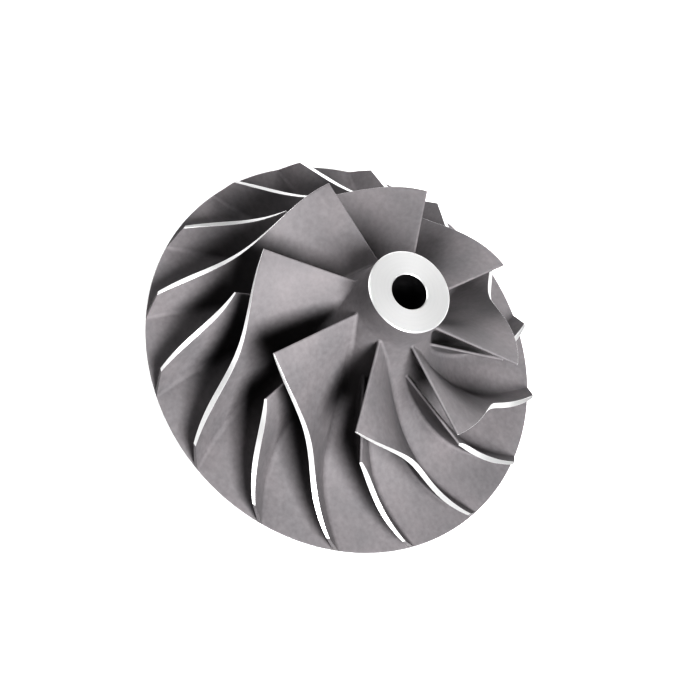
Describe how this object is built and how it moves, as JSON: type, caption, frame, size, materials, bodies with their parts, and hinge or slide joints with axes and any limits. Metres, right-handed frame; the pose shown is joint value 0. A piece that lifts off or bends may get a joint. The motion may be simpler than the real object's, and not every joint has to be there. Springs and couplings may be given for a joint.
{
  "type": "compressor wheel",
  "caption": "Cast and turned centrifugal compressor wheel with full and splitter blades, a plain nose, a thin back disc and a through bore for its shaft.",
  "frame": {"origin": "centre of the back boss face that the wheel rests on, on the axis of the bore", "axes": "+Z along the bore towards the nose; +X through a full blade's tip at the rim"},
  "size_m": [0.094, 0.094, 0.044],
  "materials": {
    "cast_aluminium": "satin, bead-blasted casting skin",
    "turned_aluminium": "bright turned metal on the nose face, the blade tips, the rim and the back"
  },
  "bodies": {
    "root": {"wheel": "cast_aluminium"}
  },
  "joints": []
}
